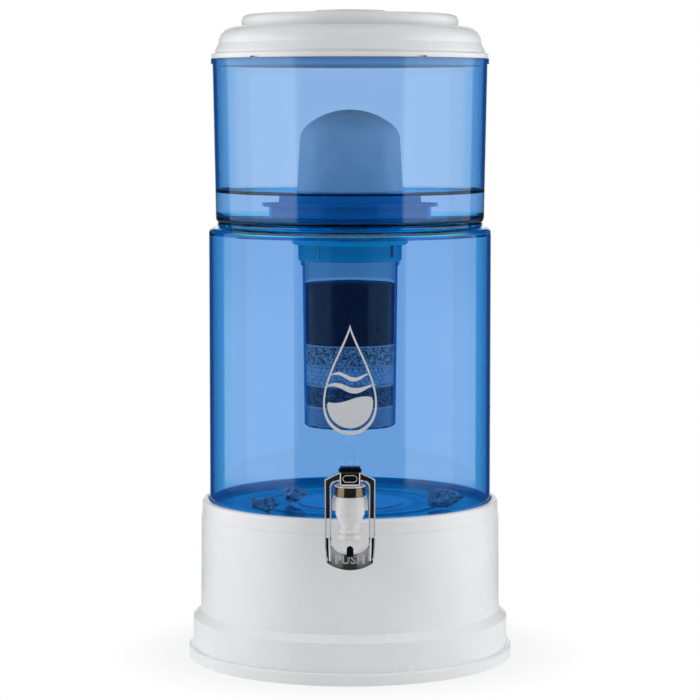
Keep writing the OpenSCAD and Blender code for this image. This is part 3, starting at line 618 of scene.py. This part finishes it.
def pile(form, radius, reach, low, high, subdivisions, wobble, seed):
    """Packs round grains along the wall of a layer and over its top."""
    row_gap, wall_gap, ring_gap, top_gap = radius * 1.75, radius * 2.03, radius * 1.9, radius * 2.05
    draw = random.Random(seed)
    rows = max(1, int((high - low) / row_gap))
    spots = []
    for row in range(rows):
        height = low + radius + (high - low - 2 * radius) * row / max(1, rows - 1)
        around = int(math.tau * reach / wall_gap)
        offset = 0.5 * (row % 2)
        spots += [(reach, (grain + offset) / around * math.tau, height) for grain in range(around)]
    inner = reach - ring_gap
    while inner > radius:
        around = int(math.tau * inner / top_gap)
        spots += [(inner, grain / around * math.tau, high - radius) for grain in range(around)]
        inner -= ring_gap
    for distance, angle, height in spots:
        place = Matrix.Translation((distance * math.cos(angle), distance * math.sin(angle), height))
        spin = Matrix.Rotation(draw.uniform(0, math.tau), 4, Vector((draw.random(), draw.random(), 1)))
        stretch = Matrix.Diagonal([1 + wobble * draw.uniform(-1, 1) for _ in range(3)] + [1])
        shape = place @ spin @ stretch
        bmesh.ops.create_icosphere(form, subdivisions=subdivisions, radius=radius, matrix=shape)


def grain_layer(node_name, slot_name, radius, subdivisions, wobble, seed):
    """A layer of loose grains that lie round and over a plain core."""
    low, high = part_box(node_name)
    core, top = high.x - radius, high.z - radius
    form = bmesh.new()
    turn(form, [(0, low.z), (core, low.z), (core, top), (0, top)], steps=64)
    pile(form, radius, core, low.z, high.z, subdivisions, wobble, seed)
    piece = settled(form, slot_name + "_layer", 0.9 if wobble else SMOOTH)
    return dressed(piece, "upper_vessel", FINISHES[slot_name], [node_name])


# ---- Design on the lower tank and the word on the paddle ----


def meshed(curve):
    """Makes a bmesh of a curve or a text."""
    holder = bpy.data.objects.new(curve.name, curve)
    mesh = bpy.data.meshes.new_from_object(holder)
    bpy.data.objects.remove(holder)
    form = bmesh.new()
    form.from_mesh(mesh)
    return form


def add_lines(curve, paths, closed):
    """Adds straight-sided lines through (x, y, z) points to a curve."""
    for path in paths:
        spline = curve.splines.new("POLY")
        spline.points.add(len(path) - 1)
        for point, place in zip(spline.points, path):
            point.co = (*place, 1)
        spline.use_cyclic_u = closed


def stood_up(form):
    """Turns a form that lies flat up into the XZ plane."""
    bmesh.ops.rotate(form, verts=form.verts, matrix=Matrix.Rotation(math.pi / 2, 3, "X"))
    return form


def flat_shape(name, outlines):
    """A flat mesh in the XZ plane, filled between closed outlines of (x, z) points."""
    curve = bpy.data.curves.new(name, "CURVE")
    curve.dimensions = "2D"
    curve.fill_mode = "BOTH"
    add_lines(curve, [[(x, z, 0) for x, z in outline] for outline in outlines], closed=True)
    form = meshed(curve)
    bmesh.ops.remove_doubles(form, verts=form.verts, dist=SAME_PLACE)
    return stood_up(form)


def sliced(form, low, high, pitch, axis):
    """Cuts a flat form into strips, so that it can follow a curved surface."""
    normal = [float(axis == number) for number in range(3)]
    for step in range(int((high - low) / pitch) + 1):
        place = [value * (low + pitch * step) for value in normal]
        everything = form.verts[:] + form.edges[:] + form.faces[:]
        bmesh.ops.bisect_plane(form, geom=everything, plane_co=place, plane_no=normal, dist=ON_CUT)
    return form


def drop_outline(width, height, middle, count=72):
    """A water drop with its point up, as (x, z) points about the middle of its height."""
    slimness = 1.6
    points = []
    for step in range(count):
        angle = math.tau * step / count
        x = width / 2 * math.sin(angle) * math.sin(angle / 2) ** slimness
        z = middle + height / 2 * math.cos(angle)
        points.append((x, z))
    return points


def wave_outline(half, middle, swell, thick, count=40):
    """A wavy band that tapers to both ends."""
    waves, blunt = 1.25, 0.05 * MM
    top, bottom = [], []
    for step in range(count + 1):
        share = step / count
        x = half * (2 * share - 1)
        ride = swell * math.sin(share * math.tau * waves)
        full = thick * math.sin(math.pi * share) / 2 + blunt
        top.append((x, middle + ride + full))
        bottom.append((x, middle + ride - full))
    return top + bottom[::-1]


def pool_outline(drop, level, swell, reach, count=30):
    """The part of the drop below a wavy level."""
    below = [(x, z) for x, z in drop if z < level + swell * math.sin(x / reach * math.pi)]
    right, left = below[0][0], below[-1][0]
    surface = []
    for step in range(1, count):
        x = left + (right - left) * step / count
        surface.append((x, level + swell * math.sin(x / reach * math.pi)))
    return below + surface


def tank_print():
    """The drop with two waves over a pool, on the front of the lower tank."""
    middle = 242 * MM
    outer = drop_outline(62 * MM, 88 * MM, middle)
    inner = drop_outline(57.5 * MM, 81 * MM, middle - 0.5 * MM)
    filled = drop_outline(53 * MM, 75 * MM, middle - 1.1 * MM)
    pool = pool_outline(filled, 226 * MM, 2.6 * MM, 24 * MM)
    low_wave = wave_outline(21 * MM, 235.5 * MM, 2.4 * MM, 4.4 * MM)
    high_wave = wave_outline(17 * MM, 244.5 * MM, 2.4 * MM, 3.2 * MM)
    form = flat_shape("tank_print", [outer, inner])
    for outline in (pool, low_wave, high_wave):
        part = flat_shape("wave", [outline])
        mesh = bpy.data.meshes.new("wave")
        part.to_mesh(mesh)
        part.free()
        form.from_mesh(mesh)
    sliced(form, -32 * MM, 32 * MM, 1 * MM, ACROSS)
    wall = TANK_RADIUS + 0.04 * MM
    for vert in form.verts:
        vert.co.y = -math.sqrt(wall**2 - vert.co.x**2)
    return dressed(settled(thickened(form, 0.03 * MM), "tank_print"), "lower_vessel", INK)


# ---- Spring of the tap's valve ----


def valve_coil():
    """The valve's spring, a coil of round wire that fills the box of the spring's solid."""
    low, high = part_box("valve_spring")
    middle = (low + high) / 2
    thick, turns, steps, travel = 0.45 * MM, 5, 24, 2.05 * MM
    bend, rise = (high.x - low.x) / 2 - thick, high.z - low.z - 2 * thick
    start = Matrix.Translation((middle.x + bend, middle.y, low.z + thick))
    upright = Matrix.Rotation(math.pi / 2, 4, "X")
    form = bmesh.new()
    bmesh.ops.create_circle(form, segments=8, radius=thick, matrix=start @ upright)
    bmesh.ops.spin(
        form, geom=form.verts[:] + form.edges[:], cent=middle, axis=(0, 0, 1), angle=math.tau * turns,
        dvec=(0, 0, rise / (turns * steps)), steps=turns * steps
    )
    bmesh.ops.holes_fill(form, edges=[edge for edge in form.edges if edge.is_boundary])
    bmesh.ops.recalc_face_normals(form, faces=form.faces)
    piece = settled(form, "valve_coil", 1.2)
    dressed(piece, "lower_vessel", FINISHES["spring_steel"], ["valve_spring"])
    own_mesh(piece)


# ---- Dressing of the lever ----

HALF_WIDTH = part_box("lever_frame")[1].x
WINDOW_HALF = HALF_WIDTH - 4.85 * MM
RAIL_MIDDLE = HALF_WIDTH - 2.425 * MM
CHANNEL_INNER, CHANNEL_OUTER = RAIL_MIDDLE - 1.45 * MM, RAIL_MIDDLE + 1.45 * MM
LONG_LINE_FOOT = 137.5 * MM
LOW_LINE_INNER = RAIL_MIDDLE - 0.25 * MM
LOW_LINE_FOOT, LOW_LINE_BEND, LOW_LINE_TOP = 101.4 * MM, 113 * MM, 121 * MM
RIM = 0.5 * MM
TRIM = 0.45 * MM
BRIDGED = 1.3 * MM

# Depths in front of the lever, and of its front where nothing is struck yet
BEFORE_LEVER = -0.3
LEVER_FRONT = -0.16


def skin_of(node_name):
    """The skin of a CAD node, to lay thin pieces on."""
    form = bmesh.new()
    form.from_mesh(frame["nodes"][node_name].data)
    tree = BVHTree.FromBMesh(form)
    form.free()
    return tree


def struck(skin, x, z):
    """The place where a skin is first met from the front, or None."""
    return skin.ray_cast(Vector((x, BEFORE_LEVER, z)), Vector((0, 1, 0)))[0]


def laid_on(form, skin, lift, bridged=0.0):
    """Moves a flat form back until it lies on the skin, seen from the front. Its own depth is kept.
    It lies across channels that are narrower than twice the bridged width. Where it reaches past the skin's
    edge it takes the depth of the edge."""
    front = LEVER_FRONT
    for vert in form.verts:
        x, z = vert.co.x, vert.co.z
        tries = [x, x - bridged, x + bridged] if bridged else [x]
        hits = [hit.y for hit in (struck(skin, across, z) for across in tries) if hit]
        front = min(hits or [skin.find_nearest(Vector((x, front, z)))[0].y])
        vert.co.y += front - lift
    return form


def laid_strip(name, outlines, low, high, skin, finish):
    """A thin sheet over the channels in the lever's rails, sliced so that it bends with them."""
    form = sliced(flat_shape(name, outlines), low, high, 2 * MM, UPWARD)
    laid_on(form, skin, 0.06 * MM, BRIDGED)
    return dressed(settled(thickened(form, 0.05 * MM), name), "lever", finish)


def groove_outlines(side):
    """The dark lines of one rail: a long one that turns in over the shoulder, and one beside the paddle."""
    out, inner, low, head_side = CHANNEL_OUTER, CHANNEL_INNER, LOW_LINE_INNER, 8.2 * MM
    upper = [
        (out, LONG_LINE_FOOT), (out, 168.8 * MM), (head_side, 174.4 * MM), (head_side, 170.2 * MM),
        (inner - 2.4 * MM, 168.2 * MM), (inner - 0.6 * MM, 166.0 * MM), (inner, 163.2 * MM),
        (inner, LONG_LINE_FOOT),
    ]
    lower = [
        (out - 1.2 * MM, LOW_LINE_FOOT), (out - 0.7 * MM, LOW_LINE_FOOT + 1 * MM), (out, LOW_LINE_BEND),
        (out, LOW_LINE_TOP), (low, LOW_LINE_TOP), (low, LOW_LINE_BEND), (low - 0.5 * MM, LOW_LINE_FOOT),
    ]
    return [[(side * x, z) for x, z in outline] for outline in (upper, lower)]


def lever_inlays(skin):
    """The dark lines in the rails of the loop."""
    outlines = [*groove_outlines(-1), *groove_outlines(1)]
    return laid_strip("lever_inlays", outlines, 100 * MM, 176 * MM, skin, FINISHES["black_plastic"])


def rail_reflection_strips(skin):
    """Pale strips in the channels, between the dark lines and down beside the lower ones: a painted
    reflection of white in the chrome rails.
    """
    low, high = LOW_LINE_TOP + 0.3 * MM, LONG_LINE_FOOT - 0.3 * MM
    beside, edge, foot = LOW_LINE_INNER - 0.15 * MM, CHANNEL_INNER - 0.5 * MM, 102.6 * MM
    outline = [
        (CHANNEL_OUTER, low), (CHANNEL_OUTER, high), (CHANNEL_INNER, high), (CHANNEL_INNER, low),
        (edge, low - 4 * MM), (edge, foot), (beside - 0.4 * MM, foot), (beside, LOW_LINE_BEND), (beside, low),
    ]
    outlines = [[(side * x, z) for x, z in outline] for side in (-1, 1)]
    return laid_strip("rail_reflection_strips", outlines, 103 * MM, 137 * MM, skin, FINISHES["white_gloss"])


def paddle_peg(skin):
    """A small dark peg with a round top that stands on the lip of the paddle."""
    half, low, high, proud, deep = 2.65 * MM, 106.2 * MM, 114.6 * MM, 0.8 * MM, 1.6 * MM
    angles = [math.pi * step / 12 for step in range(13)]
    round_top = [(half * math.cos(angle), high - half + half * math.sin(angle)) for angle in angles]
    form = flat_shape("paddle_peg", [[*round_top, (-half, low), (half, low)]])
    bmesh.ops.translate(form, verts=form.verts, vec=(0, struck(skin, 0, low).y - proud, 0))
    raised = bmesh.ops.extrude_face_region(form, geom=form.faces[:])
    moved = [part for part in raised["geom"] if isinstance(part, bmesh.types.BMVert)]
    bmesh.ops.translate(form, verts=moved, vec=(0, deep, 0))
    bmesh.ops.recalc_face_normals(form, faces=form.faces)
    return dressed(settled(form, "paddle_peg"), "lever", FINISHES["black_plastic"])


def wire(name, paths, radius, closed=False):
    """Round wire along (x, z) paths in the XZ plane."""
    curve = bpy.data.curves.new(name, "CURVE")
    curve.dimensions = "3D"
    curve.bevel_depth = radius
    curve.bevel_resolution = 2
    add_lines(curve, [[(x, 0, z) for x, z in path] for path in paths], closed)
    return meshed(curve)


def even_steps(path, pitch):
    """Adds points to a path so that none lie further apart than the pitch."""
    points = [path[0]]
    for (x0, z0), (x1, z1) in zip(path, path[1:]):
        count = max(1, math.ceil(math.hypot(x1 - x0, z1 - z0) / pitch))
        steps = range(1, count + 1)
        points += [(x0 + (x1 - x0) * step / count, z0 + (z1 - z0) * step / count) for step in steps]
    return points


def lever_rims(skin):
    """Bright rounded edges of the loop, outside and round the window."""
    edge, window, bow, bow_height = HALF_WIDTH - RIM, WINDOW_HALF + RIM, 7 * MM + RIM, 161.5 * MM
    angles = [math.pi / 16 * step for step in range(9)]
    corner = [(window - bow + bow * math.cos(angle), bow_height + bow * math.sin(angle)) for angle in angles]
    outer = [(8.0 * MM, 175.0 * MM), (edge, 169.2 * MM), (edge, 113.4 * MM), (edge - 1.35 * MM, 103.3 * MM)]
    inner = [(window, 122 * MM), *corner, (8.4 * MM, bow_height + bow)]
    paths = []
    for side in (-1, 1):
        paths += [[(side * x, z) for x, z in even_steps(path, 2 * MM)] for path in (outer, inner)]
    form = laid_on(wire("lever_rims", paths, RIM), skin, 0, BRIDGED)
    return dressed(settled(form, "lever_rims", SMOOTH), "lever", RIM_CHROME)


def paddle_lip(skin):
    """The bright rounded lip over the paddle."""
    scoop, foot = WINDOW_HALF + 2.2 * MM, 108.6 * MM
    bend = scoop + 0.5 * MM
    reach = math.asin((WINDOW_HALF + 0.1 * MM) / bend)
    angles = [reach * (step / 16 - 1) for step in range(33)]
    path = [(bend * math.sin(angle), foot + scoop - bend * math.cos(angle)) for angle in angles]
    form = laid_on(wire("paddle_lip", [path], TRIM), skin, 0)
    return dressed(settled(form, "paddle_lip", SMOOTH), "lever", FINISHES["white_gloss"])


def head_trim():
    """A bright line on the bezel of the lever's black head, along its sides and its foot."""
    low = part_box("lever_head")[0]
    side, foot, top, bezel = 7.4 * MM, low.z + 0.5 * MM, 175.2 * MM, 0.45 * MM
    path = even_steps([(-side, top), (-side, foot), (side, foot), (side, top)], 1 * MM)
    form = wire("head_trim", [path], TRIM)
    bmesh.ops.translate(form, verts=form.verts, vec=(0, low.y - bezel, 0))
    return dressed(settled(form, "head_trim", SMOOTH), "lever", FINISHES["white_gloss"])


def oval_ring():
    """The chrome oval on the lever's black head."""
    low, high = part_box("lever_oval_ring")
    middle = (low + high) / 2
    half, tall, half_turn = high.x + 0.2 * MM, (high.z - low.z) / 2 - 0.3 * MM, 24
    path = []
    for step in range(half_turn * 2):
        angle = math.pi * step / half_turn
        shift = math.copysign(half - tall, math.cos(angle))
        path.append((shift + tall * math.cos(angle), middle.z + tall * math.sin(angle)))
    form = wire("oval_ring", [path], 0.33 * MM, closed=True)
    bmesh.ops.translate(form, verts=form.verts, vec=(0, high.y, 0))
    return dressed(settled(form, "oval_ring", SMOOTH), "lever", RIM_CHROME, ["lever_oval_ring"])


def push_word(skin):
    """The plain word on the paddle, in raised outline letters."""
    text = bpy.data.curves.new("push_word", "FONT")
    text.body = "PUSH"
    text.size = 9.3 * MM
    text.space_character = 1.1
    text.align_x = "CENTER"
    text.fill_mode = "NONE"
    text.bevel_depth = 0.16 * MM
    text.bevel_resolution = 1
    text.resolution_u = 4
    form = stood_up(meshed(text))
    bmesh.ops.translate(form, verts=form.verts, vec=(0, 0, 100.6 * MM))
    laid_on(form, skin, 0.05 * MM)
    return dressed(settled(form, "push_word", SMOOTH), "lever", ENAMEL)


water()
painted_water_line()
rest_band()
cap_threads()
thread_glint_beads()
cap_collar()
cap_recess_shades()
stone("stone_front", 3)
stone("stone_back", 8)
stone("stone_right", 5)
grain_layer("media_balls", "pale_balls", 2.1 * MM, 2, 0, 11)
grain_layer("media_granules", "grey_granules", 1.35 * MM, 1, 0.3, 12)
tank_print()
valve_coil()
lever_skin = skin_of("lever_frame")
lever_inlays(lever_skin)
rail_reflection_strips(lever_skin)
paddle_peg(lever_skin)
lever_rims(lever_skin)
paddle_lip(lever_skin)
head_trim()
oval_ring()
push_word(lever_skin)


# ---- Camera, light and floor ----

CAMERA_DISTANCE = 2.181
CAMERA_HEIGHT = 0.4566
CAMERA_TILT = math.radians(4.68)
FLAG = 0.03
LAMP_RADIANCE = 1.85
MIRRORED_RADIANCE = 1.5
SOFTBOX_ASIDE, SOFTBOX_FORWARD, SOFTBOX_HEIGHT = 1.05, 0.15, 0.54
SOFTBOX_SIZE = (1.9, 1.08)


def camera():
    """The view from the front, a little from above."""
    data = bpy.data.cameras.new("view")
    data.sensor_width = 36
    data.lens = 135.15
    data.shift_y = -0.04
    eye = bpy.data.objects.new("view", data)
    eye.location = (0, -CAMERA_DISTANCE, CAMERA_HEIGHT)
    eye.rotation_euler = (math.pi / 2 - CAMERA_TILT, 0, 0)
    bpy.context.scene.collection.objects.link(eye)
    bpy.context.scene.camera = eye


def softbox(name, side):
    """A flat lamp that faces the middle of the object. Its mirrorings come from the room below."""
    width, height = SOFTBOX_SIZE
    place = Vector((side * SOFTBOX_ASIDE, -SOFTBOX_FORWARD, SOFTBOX_HEIGHT))
    data = bpy.data.lights.new(name, "AREA")
    data.shape = "RECTANGLE"
    data.size = width
    data.size_y = height
    data.energy = LAMP_RADIANCE * math.pi * width * height
    lamp = bpy.data.objects.new(name, data)
    aim = Vector((0, 0, place.z)) - place
    lamp.matrix_world = Matrix.Translation(place) @ aim.to_track_quat("-Z", "Y").to_matrix().to_4x4()
    lamp.visible_camera = False
    lamp.visible_transmission = False
    lamp.visible_glossy = False
    bpy.context.scene.collection.objects.link(lamp)


def before_scattering(tree, *kinds):
    """1 for rays of the named kinds that have met polished and clear surfaces only."""
    path = add_node(tree, "ShaderNodeLightPath")
    wanted = chained(tree, "MAXIMUM", *[path.outputs[kind] for kind in kinds])
    unscattered = calculated(tree, "LESS_THAN", path.outputs["Diffuse Depth"], 0.5)
    return calculated(tree, "MULTIPLY", wanted, unscattered)


def room(tree):
    """The mirrored room by direction: a white wall behind the part, dark flags, a softbox on each side.
    Inside the tanks the wall is mirrored in deep blue. Turns count from straight behind the part, and
    heights run from -1 straight down to 1 straight up."""
    direction = add_node(tree, "ShaderNodeTexCoord").outputs["Generated"]
    way = add_node(tree, "ShaderNodeSeparateXYZ", {"Vector": direction})
    height = way.outputs["Z"]
    aside = calculated(tree, "ARCTAN2", calculated(tree, "ABSOLUTE", way.outputs["X"]), way.outputs["Y"])
    turned = calculated(tree, "DIVIDE", aside, math.pi)
    dim, edge, full = (0.0, 0.0, 0.0), (0.72, 0.72, 0.72), (1.0, 1.0, 1.0)
    stops = (54.5, dim), (57, edge), (86, edge), (89, full), (133, full), (135.5, dim)
    lamps = shades(tree, turned, *[(degrees / 180, colour) for degrees, colour in stops])
    bright = spread(tree, height, MIRRORED_RADIANCE, MIRRORED_RADIANCE * 0.7, -0.0875, -0.0575)
    foot = spread(tree, height, 0, 1, -0.1456, -0.1396)
    top = spread(tree, height, 1, 0.3, 0.6, 0.8)
    sides = chained(tree, "MULTIPLY", foot, top, bright, lamps)
    ceiling = spread(tree, height, 0, 1.6, 0.45, 0.9)
    below = spread(tree, height, 0.35, 0, -0.3, -0.16)
    ground = calculated(tree, "MULTIPLY", below, spread(tree, turned, 1, 0.1, 0.7, 0.85))
    around = chained(tree, "MAXIMUM", sides, ceiling, ground, FLAG)
    inside = add_node(tree, "ShaderNodeLightPath").outputs["Transmission Depth"]
    within = calculated(tree, "GREATER_THAN", inside, 0.5)
    glow = []
    for level in (0.0, 0.12, 0.38):
        glow.append(calculated(tree, "MAXIMUM", around, calculated(tree, "MULTIPLY", within, level)))
    dark = add_node(tree, "ShaderNodeCombineXYZ", dict(zip("XYZ", glow))).outputs["Vector"]
    wall = spread(tree, turned, 1, 0, 12 / 180, 15 / 180)
    return colour_mix(tree, wall, dark, shades(tree, within, (0, full), (1, (0.05, 0.62, 1.0))))


def floor():
    """The pale floor, which keeps the part's shadow and fades into the white backdrop."""
    form = bmesh.new()
    bmesh.ops.create_grid(form, x_segments=8, y_segments=8, size=6)
    finish, tree, shader = plain("pale_floor", (0.85, 0.85, 0.85), 0.9)
    far = add_node(tree, "ShaderNodeVectorMath", {0: own_place(tree)}, operation="LENGTH").outputs["Value"]
    seen = add_node(tree, "ShaderNodeLightPath").outputs["Is Camera Ray"]
    fade = calculated(tree, "MULTIPLY", spread(tree, far, 0.75, 1.0, 0.135, 0.2), seen)
    mirrored = before_scattering(tree, "Is Glossy Ray", "Is Transmission Ray")
    drop = calculated(tree, "MULTIPLY", spread(tree, far, 0, 1, 0.2, 0.4), mirrored)
    away = calculated(tree, "MAXIMUM", fade, drop)
    show(tree, blended(tree, away, shader, add_node(tree, "ShaderNodeBsdfTransparent")))
    ground = settled(form, "floor")
    ground.data.materials.append(finish)


def wash(tree, colour, strength):
    """Light of one colour or pattern from all of the world."""
    return add_node(tree, "ShaderNodeBackground", {"Color": colour, "Strength": strength})


def studio():
    """White where the backdrop is seen, straight or through clear plastic, the room in mirrorings, and a
    soft fill elsewhere."""
    world = bpy.data.worlds.new("studio")
    world.use_nodes = True
    tree = world.node_tree
    tree.nodes.clear()
    path = add_node(tree, "ShaderNodeLightPath")
    fill = wash(tree, (0.95, 0.97, 1, 1), 0.38)
    glow = wash(tree, (0.25, 0.66, 1, 1), 1.25)
    soft = blended(tree, path.outputs["Is Transmission Ray"], fill, glow)
    polished = before_scattering(tree, "Is Glossy Ray", "Is Transmission Ray")
    with_room = blended(tree, polished, soft, wash(tree, room(tree), 1.0))
    unmirrored = calculated(tree, "LESS_THAN", path.outputs["Glossy Depth"], 0.5)
    seen = before_scattering(tree, "Is Camera Ray", "Is Transmission Ray")
    straight = calculated(tree, "MULTIPLY", seen, unmirrored)
    with_white = blended(tree, straight, with_room, wash(tree, (1, 1, 1, 1), 1.0))
    output = add_node(tree, "ShaderNodeOutputWorld")
    tree.links.new(with_white.outputs[0], output.inputs["Surface"])
    bpy.context.scene.world = world


camera()
softbox("softbox_left", -1)
softbox("softbox_right", 1)
floor()
studio()

scene = bpy.context.scene
scene.view_settings.view_transform = "Standard"
